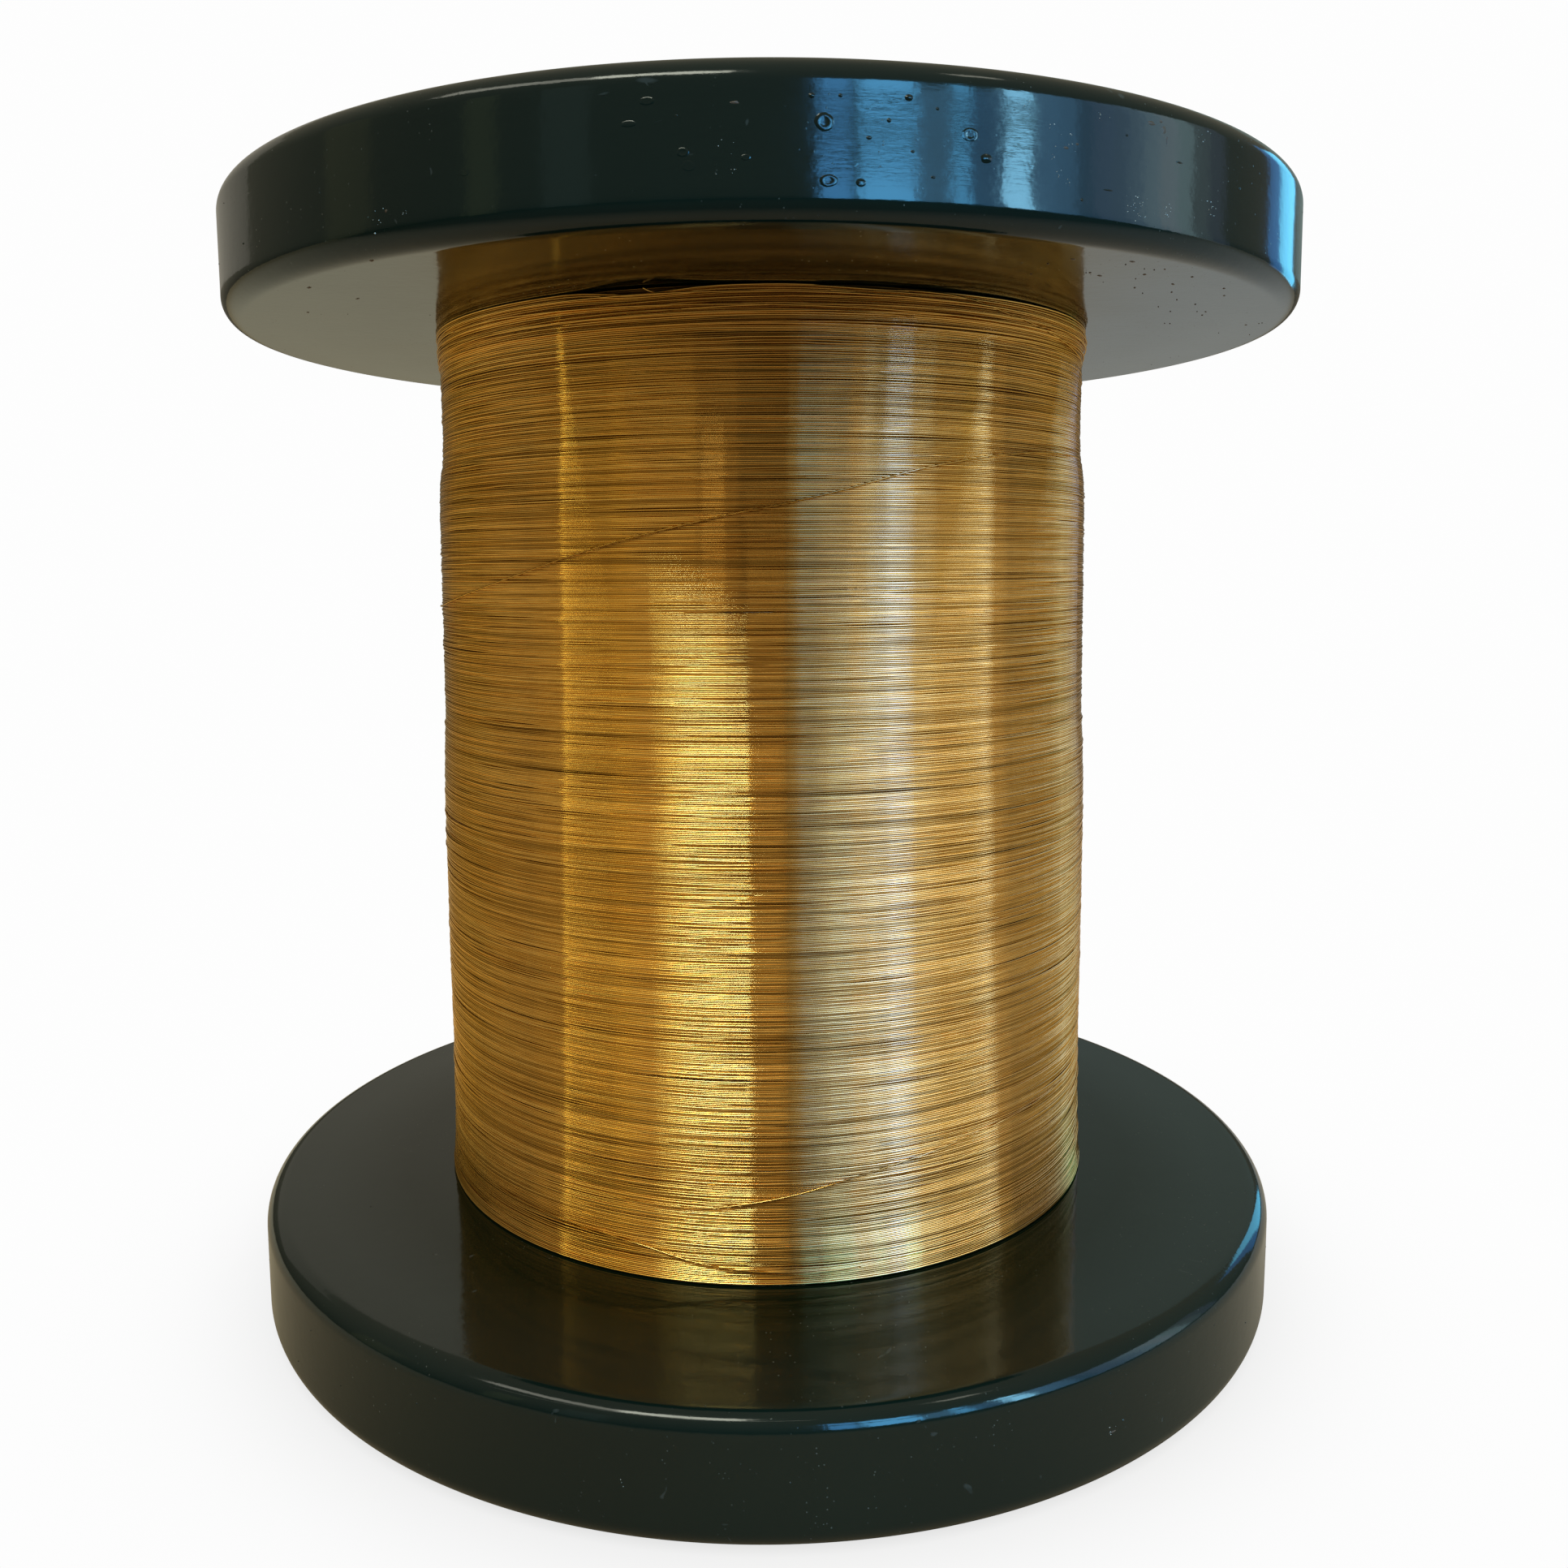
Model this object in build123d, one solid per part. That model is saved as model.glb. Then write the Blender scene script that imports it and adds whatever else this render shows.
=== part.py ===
from build123d import *
import math
import os

# Double-walled steel process reel, wound with fine brass wire.
# Frame: the reel stands on its lower flange, the reel axis is +Z, the origin is the
# centre of the face it stands on. Lengths are in millimetres, angles in degrees.

# ---------------------------------------------------------------- driving dimensions
flange_d = 250.0          # outside diameter of both flanges
flange_t = 26.5           # thickness of a flange
traverse = 203.0          # distance between the inner faces of the flanges
skin_t = 2.0              # thickness of the flange skins

barrel_r = 75.0           # outside radius of the barrel
barrel_t = 2.0            # wall of the barrel
bore_tube_ro = 24.0       # outside radius of the bore tube
spigot_r = 30.0           # hub spigot, and the hole it fills in the outer skin
collar_r = 27.0           # shaft bush collar, and the spigot bore around it

wire_d = 0.35             # wire diameter
entry_angle = -108.5      # direction of the wire entry hole, from +X
entry_r = 79.2            # distance of the entry hole from the axis
entry_hole_r = 2.6

flange_r = flange_d / 2
rim_r = flange_r - skin_t             # inside radius of the rim
length = traverse + 2 * flange_t
z_top = flange_t + traverse           # inner face of the upper flange
skin_under = flange_t - skin_t        # hidden face of the lower inner skin
plate_z = 2 * skin_t                  # hidden face of the lower outer skin
crest_z = 6.0                         # underside of the outer skin's corrugation
crest_top = crest_z + skin_t
skin_cut_z = 12.0                     # height of the cuts through the outer skin


# ---------------------------------------------------------------- helpers
def outline(points):
    """Closed outline in the XZ plane. A point is (r, z) or (r, z, fillet radius)."""
    count = len(points)
    corners = []                      # (start, arc midpoint or None, end)
    for i, point in enumerate(points):
        before = points[i - 1]
        after = points[(i + 1) % count]
        corner = Vector(point[0], 0, point[1])
        if len(point) < 3:
            corners.append((corner, None, corner))
            continue
        radius = point[2]
        to_before = (Vector(before[0], 0, before[1]) - corner).normalized()
        to_after = (Vector(after[0], 0, after[1]) - corner).normalized()
        half = math.acos(max(-1.0, min(1.0, to_before.dot(to_after)))) / 2
        cut = radius / math.tan(half)
        bisector = (to_before + to_after).normalized()
        centre = corner + bisector * (radius / math.sin(half))
        corners.append((corner + to_before * cut, centre - bisector * radius,
                        corner + to_after * cut))
    edges = []
    for i, (start, mid, end) in enumerate(corners):
        if mid is not None:
            edges.append(ThreePointArc(start, mid, end))
        next_start = corners[(i + 1) % count][0]
        if (next_start - end).length > 1e-6:
            edges.append(Line(end, next_start))
    return Wire(edges)


def lathe(points):
    """Solid of revolution about the reel axis."""
    return revolve(Face(outline(points)), Axis.Z, 360)


def tube(r_in, r_out, z0, z1):
    """Plain ring or tube about the reel axis."""
    return lathe([(r_in, z0), (r_out, z0), (r_out, z1), (r_in, z1)])


def pin(r, x, y, z0, z1):
    """Upright cylinder used to cut a hole."""
    return Pos(x, y, z0) * Cylinder(r, z1 - z0, align=(Align.CENTER, Align.CENTER, Align.MIN))


def polar(r, degrees):
    """(x, y) at a direction measured from +X."""
    return r * math.cos(math.radians(degrees)), r * math.sin(math.radians(degrees))


def wire_point(r, degrees, z):
    """Point at a direction measured from -Y towards +X."""
    angle = math.radians(degrees)
    return Vector(r * math.sin(angle), -r * math.cos(angle), z)


def wire_along(path, **options):
    """Round wire swept along a path."""
    section = Plane(origin=path @ 0, z_dir=path % 0) * Circle(wire_d / 2)
    return sweep(section, path=path, **options)


def to_top(solid):
    """The upper flange is the lower flange turned over about mid-height."""
    return mirror(solid, Plane.XY.offset(length / 2))


# ---------------------------------------------------------------- flange inner skin
# one drawn skin: face under the wire, rounded edge, straight rim, curled lip
edge_r = 4.5              # rounding of the drawn edges
lip_r = 108.0             # inner radius of the curled lip the reel stands on
inner_edge_r = edge_r - skin_t

inner_wall = lathe([
    (barrel_r, skin_under),
    (rim_r, skin_under, inner_edge_r),
    (rim_r, skin_t, inner_edge_r),
    (lip_r, skin_t),
    (lip_r, 0.0),
    (flange_r, 0.0, edge_r),
    (flange_r, flange_t, edge_r),
    (barrel_r, flange_t),
])
entry_x, entry_y = polar(entry_r, entry_angle)
lower_inner_wall = inner_wall - pin(
    entry_hole_r, entry_x, entry_y, flange_t - 6, flange_t + 2)

# ---------------------------------------------------------------- drive-pin bushes
drive_r = 7.0             # drive-pin hole
drive_pitch_r = 55.0      # distance of the holes from the axis
drive_bush_r = 11.0       # outside radius of a bush
drive_depth = 15.0        # length of a bush
drive_z = 1.0             # outer end of a bush
drive_lead = 1.0          # lead-in at the mouth
drive_collar_r = drive_bush_r + 2.5
drive_collar_top = plate_z + 3.0      # the collar lies inside the skin
drive_xy = [polar(drive_pitch_r, angle) for angle in (0.0, 180.0)]

drive_bush = lathe([
    (drive_r + drive_lead, drive_z), (drive_bush_r, drive_z), (drive_bush_r, plate_z),
    (drive_collar_r, plate_z), (drive_collar_r, drive_collar_top),
    (drive_bush_r, drive_collar_top), (drive_bush_r, drive_z + drive_depth),
    (drive_r, drive_z + drive_depth), (drive_r, drive_z + drive_lead),
])
drive_bushes = [Pos(x, y, 0) * drive_bush for x, y in drive_xy]

# ---------------------------------------------------------------- flange outer skin
# corrugated, seated on the curled lip
outer_skin_r = 119.0
window_r = 91.0           # distance of the window from the axis
window_length = 34.0
window_width = 14.0

outer_wall = lathe([
    (spigot_r, skin_t), (78.0, skin_t, 3.0), (84.0, crest_z, 2.0),
    (100.0, crest_z, 2.0), (105.0, skin_t, 3.0), (outer_skin_r, skin_t),
    (outer_skin_r, plate_z), (106.0, plate_z, 2.0), (101.0, crest_top, 3.0),
    (83.0, crest_top, 3.0), (77.0, plate_z, 2.0), (spigot_r, plate_z),
])
for x, y in drive_xy:
    outer_wall = outer_wall - pin(drive_bush_r, x, y, 0, skin_cut_z)
# oval window in the lower outer skin, to reach the start of the wire
window = Pos(*polar(window_r, entry_angle), 0) * Rot(0, 0, entry_angle + 90) * extrude(
    SlotOverall(window_length, window_width), skin_cut_z)
lower_outer_wall = outer_wall - window

# ---------------------------------------------------------------- rim hoop
# welded inside the rim, between the two skins
hoop_r = rim_r - 3.0      # inside radius of the hoop
hoop_inset = 5.0          # from either face of the flange
rim_ring = tube(hoop_r, rim_r, hoop_inset, flange_t - hoop_inset)

# ---------------------------------------------------------------- ribs
# radial, between the two skins, from the barrel to the rim hoop
rib_count = 8
rib_t = 3.0
slot_z = 16.5             # mid-height of the lightening slot
slot_length = 26.0
slot_width = 8.0

rib_plate = extrude(
    Plane.XZ * make_face(Polyline(
        (barrel_r, crest_top), (hoop_r, crest_top), (hoop_r, skin_under),
        (barrel_r, skin_under), close=True)), rib_t / 2, both=True)
rib_slot = Plane.XZ * (
    Pos((barrel_r + hoop_r) / 2, slot_z) * SlotOverall(slot_length, slot_width))
rib_plate = rib_plate - extrude(rib_slot, rib_t, both=True)
# trimmed to the round barrel and the round hoop
rib_plate = rib_plate & tube(barrel_r, hoop_r, crest_top - 1.0, flange_t)
ribs = [Rot(0, 0, 360.0 / rib_count * i) * rib_plate for i in range(rib_count)]

# ---------------------------------------------------------------- hub ring
# turned ring, its spigot set in the outer skin
hub_r = 38.0
hub_top = plate_z + 22.0
hub_edge_r = 1.5
spigot_z = 1.0            # outer end of the spigot

hub_ring = lathe([
    (collar_r, spigot_z), (spigot_r, spigot_z), (spigot_r, plate_z), (hub_r, plate_z),
    (hub_r, hub_top, hub_edge_r), (bore_tube_ro, hub_top), (bore_tube_ro, plate_z),
    (collar_r, plate_z),
])

# ---------------------------------------------------------------- shaft bush
# hardened, with a collar and a lead-in at the mouth
bore_r = 18.0             # shaft bore
bush_z = 0.5              # outer end of the bush
bush_top = 19.5
bush_lead = 1.0

shaft_bush = lathe([
    (bore_r + bush_lead, bush_z), (collar_r, bush_z), (collar_r, plate_z),
    (bore_tube_ro, plate_z), (bore_tube_ro, bush_top), (bore_r, bush_top),
    (bore_r, bush_z + bush_lead),
])

# ---------------------------------------------------------------- barrel and bore tube
barrel_ri = barrel_r - barrel_t
bore_tube_ri = 21.5
bore_tube_z = 20.0        # lower end of the bore tube, and its inset at the top

barrel_tube = tube(barrel_ri, barrel_r, plate_z, length - plate_z)
bore_tube = tube(bore_tube_ri, bore_tube_ro, bore_tube_z, length - bore_tube_z)

# ---------------------------------------------------------------- barrel discs
disc_z = 92.0             # flat face of a disc, from the nearer end of the reel
disc_t = 2.0
disc_bend_r = 1.5         # inside radius of the outer bend
disc_outer_h = 12.0       # height of the flange on the barrel
disc_inner_h = 8.0        # height of the flange on the bore tube
disc_holes = 6
disc_hole_r = 10.0
disc_hole_pitch_r = 48.0


def barrel_disc(z, side):
    """Pressed support disc, flanged at both edges towards side (+1 up, -1 down)."""
    disc = lathe([
        (bore_tube_ro, z),
        (barrel_ri, z, disc_bend_r + disc_t),
        (barrel_ri, z + side * disc_outer_h),
        (barrel_ri - disc_t, z + side * disc_outer_h),
        (barrel_ri - disc_t, z + side * disc_t, disc_bend_r),
        (bore_tube_ro + disc_t, z + side * disc_t),
        (bore_tube_ro + disc_t, z + side * disc_inner_h),
        (bore_tube_ro, z + side * disc_inner_h),
    ])
    step = 360.0 / disc_holes
    for i in range(disc_holes):
        x, y = polar(disc_hole_pitch_r, step / 2 + step * i)
        disc = disc - pin(disc_hole_r, x, y, z - 5, z + 5)
    return disc


# ---------------------------------------------------------------- winding
# (z, outside radius) along the axis: wound slightly barrel-shaped, a little slack
# under the upper flange and built up against both flanges
wind_profile = [
    (flange_t + 0.2, 80.9), (30.0, 80.5), (38.0, 80.1), (60.0, 79.95), (95.0, 80.1),
    (120.0, 80.1), (131.0, 79.8), (141.0, 79.3), (165.0, 79.2), (188.0, 79.1),
    (195.5, 78.8), (200.5, 78.0), (208.0, 77.8), (215.0, 77.85), (221.0, 77.9),
    (225.5, 78.2), (z_top - 0.3, 78.6),
]
outer_curve = [(r, z) for z, r in wind_profile]
inner_curve = [(r - wire_d, z) for z, r in wind_profile]
winding_inner_layers = lathe(
    [(barrel_r, inner_curve[0][1])] + inner_curve + [(barrel_r, inner_curve[-1][1])])
winding_outer_layer = lathe(outer_curve + inner_curve[::-1])


def wind_radius(z):
    """Outside radius of the winding at a height within the profile."""
    for (za, ra), (zb, rb) in zip(wind_profile, wind_profile[1:]):
        if z <= zb:
            return ra + (rb - ra) * (z - za) / (zb - za)


# ---------------------------------------------------------------- crossing strands
# turns that run diagonally over the outer layer: (degrees from -Y towards +X, z)
strand_lift = 0.03        # clearance over the winding
strand_paths = [
    [(-69, 166.8), (-60, 168.4), (-50, 170.8), (-40, 173.8), (-31, 177.0), (-21, 180.5),
     (-11, 183.5), (-4, 185.5), (2, 187.0), (11, 189.8), (21, 193.5), (27, 195.3),
     (37, 197.6), (46, 198.8)],
    [(-14, 43.0), (-8, 43.3), (-1, 44.9), (4, 46.2), (12, 48.9), (20, 50.9), (31, 53.0),
     (41, 54.3), (52, 55.0)],
    [(-42, 35.6), (-34, 35.2), (-26, 34.7), (-19, 33.6), (-12, 31.6), (-6, 30.3),
     (2, 29.6)],
]
crossing_strands = [
    wire_along(Spline(*[
        wire_point(wind_radius(z) + wire_d / 2 + strand_lift, degrees, z)
        for degrees, z in path]))
    for path in strand_paths
]

# ---------------------------------------------------------------- wire tail
# free end of the wire, lifted off the top turns and curled over:
# (degrees from -Y towards +X, distance off the winding, height from tail_z)
tail_z = z_top - 1.9
tail_stations = [
    (-2.0, 0.30, -0.5), (-6.0, 0.32, -0.45), (-10.0, 0.45, -0.3), (-13.5, 0.95, 0.1),
    (-16.0, 1.75, 0.7), (-17.3, 2.45, 0.6), (-18.0, 2.75, -0.3), (-17.9, 2.7, -1.3),
]
wire_tail = wire_along(Spline(*[
    wire_point(wind_radius(tail_z) + out, degrees, tail_z + rise)
    for degrees, out, rise in tail_stations]))

# ---------------------------------------------------------------- wire entry
# flanged ferrule in the entry hole, flush with the flange face
ferrule_bore_r = 1.4
ferrule_mouth_r = 2.0
ferrule_mouth_depth = 0.8
ferrule_body_r = 3.0
ferrule_flange_r = 4.0
ferrule_z = 18.5          # lower end
ferrule_flange_z = 22.0   # underside of its flange

wire_entry_ferrule = Pos(entry_x, entry_y, 0) * lathe([
    (ferrule_bore_r, ferrule_z), (ferrule_body_r, ferrule_z),
    (ferrule_body_r, ferrule_flange_z), (ferrule_flange_r, ferrule_flange_z),
    (ferrule_flange_r, skin_under), (entry_hole_r, skin_under), (entry_hole_r, flange_t),
    (ferrule_mouth_r, flange_t), (ferrule_bore_r, flange_t - ferrule_mouth_depth),
])

# start of the wire, down through the ferrule and hooked over inside the flange:
# (distance sideways from the hole, z)
start_stations = [(0.0, flange_t + 0.1), (0.0, 17.0), (1.2, 14.5), (13.0, 12.0)]
side_x, side_y = polar(1.0, entry_angle + 90.0)
start_path = Polyline(*[
    (entry_x + out * side_x, entry_y + out * side_y, z) for out, z in start_stations])
wire_start = wire_along(start_path, transition=Transition.ROUND)

# ---------------------------------------------------------------- export
nodes = {
    "lower_inner_wall": lower_inner_wall,
    "lower_outer_wall": lower_outer_wall,
    "upper_inner_wall": to_top(inner_wall),
    "upper_outer_wall": to_top(outer_wall),
    "barrel_tube": barrel_tube,
    "bore_tube": bore_tube,
    "lower_barrel_disc": barrel_disc(disc_z, 1),
    "upper_barrel_disc": barrel_disc(length - disc_z, -1),
    "winding_inner_layers": winding_inner_layers,
    "winding_outer_layer": winding_outer_layer,
    "crossing_strands": crossing_strands,
    "wire_tail": wire_tail,
    "wire_start": wire_start,
    "wire_entry_ferrule": wire_entry_ferrule,
}
# pieces that are alike in both flanges
flange_pieces = {
    "rim_ring": [rim_ring],
    "ribs": ribs,
    "hub_ring": [hub_ring],
    "shaft_bush": [shaft_bush],
    "drive_bushes": drive_bushes,
}
for name, pieces in flange_pieces.items():
    nodes["lower_" + name] = pieces
    nodes["upper_" + name] = [to_top(piece) for piece in pieces]

os.makedirs("parts", exist_ok=True)
for name, shape in nodes.items():
    solids = []
    for item in (shape if isinstance(shape, list) else [shape]):
        solids.extend(item.solids())
    body = solids[0] if len(solids) == 1 else Compound(children=solids)
    body.label = name
    export_step(body, "parts/" + name + ".step")
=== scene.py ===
# A reel of brass wire: two green enamelled steel flanges on a barrel, wound full.
# The reel stands on its lower flange with its axis on +Z and z = 0 on the floor.
# The front is -Y. Angles marked "turn" are degrees from -Y towards +X, the right.
import math

import bmesh
import bpy
import numpy as np
from mathutils import Euler, Matrix, Vector


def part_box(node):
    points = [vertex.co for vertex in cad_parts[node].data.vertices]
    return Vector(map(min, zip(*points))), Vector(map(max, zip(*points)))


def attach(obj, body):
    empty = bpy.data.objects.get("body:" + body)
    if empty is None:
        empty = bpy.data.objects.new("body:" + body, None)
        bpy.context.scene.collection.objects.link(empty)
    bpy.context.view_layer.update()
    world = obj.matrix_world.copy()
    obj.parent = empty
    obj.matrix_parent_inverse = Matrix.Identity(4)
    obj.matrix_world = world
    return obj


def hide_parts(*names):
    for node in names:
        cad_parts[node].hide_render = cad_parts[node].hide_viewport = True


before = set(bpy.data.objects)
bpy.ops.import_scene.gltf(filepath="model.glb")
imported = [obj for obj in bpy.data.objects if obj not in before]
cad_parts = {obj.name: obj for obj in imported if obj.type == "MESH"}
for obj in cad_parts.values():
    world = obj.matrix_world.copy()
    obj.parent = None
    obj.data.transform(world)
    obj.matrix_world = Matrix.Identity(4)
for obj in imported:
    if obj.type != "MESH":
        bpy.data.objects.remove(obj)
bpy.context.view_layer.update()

rng = np.random.default_rng(42)
scene = bpy.context.scene
MM = 0.001


# ------------------------------------------------------------------ sizes
def extent(node):
    """Lowest and highest corner of a CAD node."""
    low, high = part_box(node)
    return np.array(low, float), np.array(high, float)


FLANGE_RADIUS, _, FLANGE_THICK = extent("lower_inner_wall")[1]
(_, _, UPPER_FACE_Z), (_, _, REEL_LENGTH) = extent("upper_inner_wall")
(_, _, WOUND_FROM), (_, _, WOUND_TO) = extent("winding_outer_layer")
BARREL_RADIUS = extent("barrel_tube")[1][0]
SKIN = FLANGE_RADIUS - extent("lower_rim_ring")[1][0]    # sheet thickness of the flange
EDGE_RADIUS = 4.5 * MM              # rounding of the drawn edges
LIP_RADIUS = 108.0 * MM             # inner radius of the curled lip
HUB_WELD_RADIUS = 30.4 * MM


# ------------------------------------------------------------------ curves
def bell(x, centre, width):
    return np.exp(-0.5 * ((x - centre) / width) ** 2)


def bell_kernel(sigma):
    reach = int(3 * sigma)
    return bell(np.arange(-reach, reach + 1), 0, sigma)


def ease(x):
    """Smooth step from 0 to 1."""
    x = np.clip(x, 0, 1)
    return x * x * (3 - 2 * x)


def arc(centre_r, centre_z, radius, start, end, count):
    angles = np.radians(np.linspace(start, end, count))
    return [(centre_r + radius * math.cos(a), centre_z + radius * math.sin(a)) for a in angles]


def between(p, q, step):
    """Evenly spaced points between p and q, both ends left out."""
    n = max(1, int(round(math.dist(p, q) / step)))
    return [(p[0] + (q[0] - p[0]) * i / n, p[1] + (q[1] - p[1]) * i / n) for i in range(1, n)]


# ------------------------------------------------------------------ meshes
def add_object(name, mesh):
    ob = bpy.data.objects.new(name, mesh)
    scene.collection.objects.link(ob)
    return ob


def grid_object(name, grids, closed, tone=None):
    """One mesh from (rings, sides, 3) grids. Rings run on into the first if closed, else
    both ends are capped. tone is a value for each vertex, read by the wire material."""
    faces, caps = [], []
    base = 0
    for grid in grids:
        rings, sides = grid.shape[:2]
        index = np.arange(rings * sides).reshape(rings, sides) + base
        near = index if closed else index[:-1]
        far = np.roll(index, -1, 0) if closed else index[1:]
        quads = [near, np.roll(near, -1, 1), np.roll(far, -1, 1), far]
        faces.append(np.stack(quads, -1).reshape(-1, 4))
        if not closed:
            caps += [index[0][::-1], index[-1]]
        base += rings * sides
    points = np.concatenate([grid.reshape(-1, 3) for grid in grids])
    faces = np.concatenate(faces)
    cap_sizes = np.array([len(cap) for cap in caps], int)
    totals = np.concatenate([np.full(len(faces), 4), cap_sizes])
    starts = np.cumsum(totals) - totals
    loops = np.concatenate([faces.reshape(-1), *caps])
    mesh = bpy.data.meshes.new(name)
    mesh.vertices.add(len(points))
    mesh.vertices.foreach_set("co", points.reshape(-1).astype(np.float32))
    mesh.loops.add(len(loops))
    mesh.loops.foreach_set("vertex_index", loops.astype(np.int32))
    mesh.polygons.add(len(starts))
    mesh.polygons.foreach_set("loop_start", starts.astype(np.int32))
    mesh.polygons.foreach_set("loop_total", totals.astype(np.int32))
    mesh.update(calc_edges=True)
    mesh.shade_smooth()
    if tone is not None:
        attribute = mesh.attributes.new("tone", "FLOAT", "POINT")
        attribute.data.foreach_set("value", tone.astype(np.float32))
    return add_object(name, mesh)


def tube_grid(path, radius, sides, tall=1.0):
    """Rings across the path, first point outward. tall stretches them along the reel."""
    along = np.gradient(path, axis=0)
    along /= np.linalg.norm(along, axis=1)[:, None]
    out = np.stack([path[:, 0], path[:, 1], np.zeros(len(path))], 1)
    out = out - (out * along).sum(1)[:, None] * along
    out /= np.linalg.norm(out, axis=1)[:, None]
    side = np.cross(along, out)
    angles = (np.arange(sides) / sides * 2 * np.pi)[None, :, None]
    ring = np.cos(angles) * out[:, None] + tall * np.sin(angles) * side[:, None]
    return path[:, None] + ring * radius


def lathe(name, profile, wave, segments=448, sharp_angle=28):
    """Closed profile of (r, z) turned about the axis. wave(r, z, theta) gives (dr, dz)."""
    profile = np.array(profile, float)
    theta = (np.arange(segments) / segments * 2 * np.pi)[:, None]
    r = np.broadcast_to(profile[:, 0][None], (segments, len(profile)))
    z = np.broadcast_to(profile[:, 1][None], (segments, len(profile)))
    dr, dz = wave(r, z, theta)
    r = r + dr
    z = z + dz
    grid = np.stack([r * np.cos(theta), r * np.sin(theta), z], -1)
    # a counter-clockwise profile is turned round, so that the faces point outward
    following = np.roll(profile, -1, 0)
    if (profile[:, 0] * following[:, 1] - following[:, 0] * profile[:, 1]).sum() > 0:
        grid = grid[:, ::-1]
    ob = grid_object(name, [grid], closed=True)
    ob.data.set_sharp_from_angle(angle=math.radians(sharp_angle))
    return ob


def fit_out(ob, material, replaced=None):
    ob.data.materials.append(material)
    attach(ob, "root")
    if replaced:
        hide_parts(replaced)
    return ob


# ------------------------------------------------------------------ shader helper
def scaled(color, *gains):
    """Colour times one gain, or times a gain for each channel."""
    return tuple(c * gain for c, gain in zip(color, gains * 3))


class Shader:
    """Short ways to add linked nodes to the tree of a material or a world."""

    def __init__(self, owner, output="ShaderNodeOutputMaterial"):
        owner.use_nodes = True
        self.owner = owner
        self.tree = owner.node_tree
        self.tree.nodes.clear()
        self.out = self.tree.nodes.new(output)

    def feed(self, socket, value):
        if isinstance(value, bpy.types.NodeSocket):
            self.tree.links.new(value, socket)
        elif socket.type == "RGBA":
            socket.default_value = (*value, 1.0)
        else:
            socket.default_value = value

    def add(self, kind, **inputs):
        """New node. Underscores in the input names stand for spaces."""
        node = self.tree.nodes.new(kind)
        for key, value in inputs.items():
            self.feed(node.inputs[key.replace("_", " ")], value)
        return node

    def coords(self, rotation=(0, 0, 0), scale=(1, 1, 1)):
        source = self.add("ShaderNodeTexCoord").outputs["Object"]
        mapping = self.add("ShaderNodeMapping", Vector=source, Scale=scale, Rotation=rotation)
        return mapping.outputs["Vector"]

    def split(self, vector):
        return self.add("ShaderNodeSeparateXYZ", Vector=vector).outputs

    def noise(self, vector, scale, detail, rough, distortion=0.0):
        return self.add("ShaderNodeTexNoise", Vector=vector, Scale=scale, Detail=detail,
                        Roughness=rough, Distortion=distortion).outputs["Fac"]

    def ramp(self, fac, *stops):
        """Stops are (position, grey or colour)."""
        node = self.add("ShaderNodeValToRGB", Fac=fac)
        elements = node.color_ramp.elements
        while len(elements) < len(stops):
            elements.new(0.5)
        for element, (position, c) in zip(elements, stops):
            element.position = position
            element.color = (*c, 1.0) if hasattr(c, "__len__") else (c, c, c, 1.0)
        return node.outputs["Color"]

    def math(self, operation, a, b=0.0, c=None, clamp=False):
        node = self.tree.nodes.new("ShaderNodeMath")
        node.operation = operation
        node.use_clamp = clamp
        for i, value in enumerate((a, b) if c is None else (a, b, c)):
            self.feed(node.inputs[i], value)
        return node.outputs[0]

    def axis_distance(self, xyz):
        squares = [self.math("MULTIPLY", xyz[i], xyz[i]) for i in (0, 1)]
        return self.math("SQRT", self.math("ADD", *squares))

    def mix(self, fac, a, b, blend="MIX"):
        node = self.tree.nodes.new("ShaderNodeMix")
        node.data_type = "RGBA"
        node.blend_type = blend
        self.feed(node.inputs["Factor"], fac)
        self.feed(node.inputs[6], a)
        self.feed(node.inputs[7], b)
        return node.outputs[2]

    def bump(self, height, strength, distance, **under):
        return self.add("ShaderNodeBump", Height=height, Strength=strength, Distance=distance,
                        **under).outputs["Normal"]

    def camera_switch(self, others, camera):
        """Surface seen as camera by camera rays and as others by all the rest."""
        is_camera = self.add("ShaderNodeLightPath").outputs["Is Camera Ray"]
        node = self.add("ShaderNodeMixShader", Fac=is_camera)
        self.feed(node.inputs[1], others)
        self.feed(node.inputs[2], camera)
        self.feed(self.out.inputs["Surface"], node.outputs[0])

    def principled(self, **inputs):
        node = self.add("ShaderNodeBsdfPrincipled", **inputs)
        self.feed(self.out.inputs["Surface"], node.outputs["BSDF"])
        return self.owner


def material_shader(name):
    return Shader(bpy.data.materials.new(name))


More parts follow.
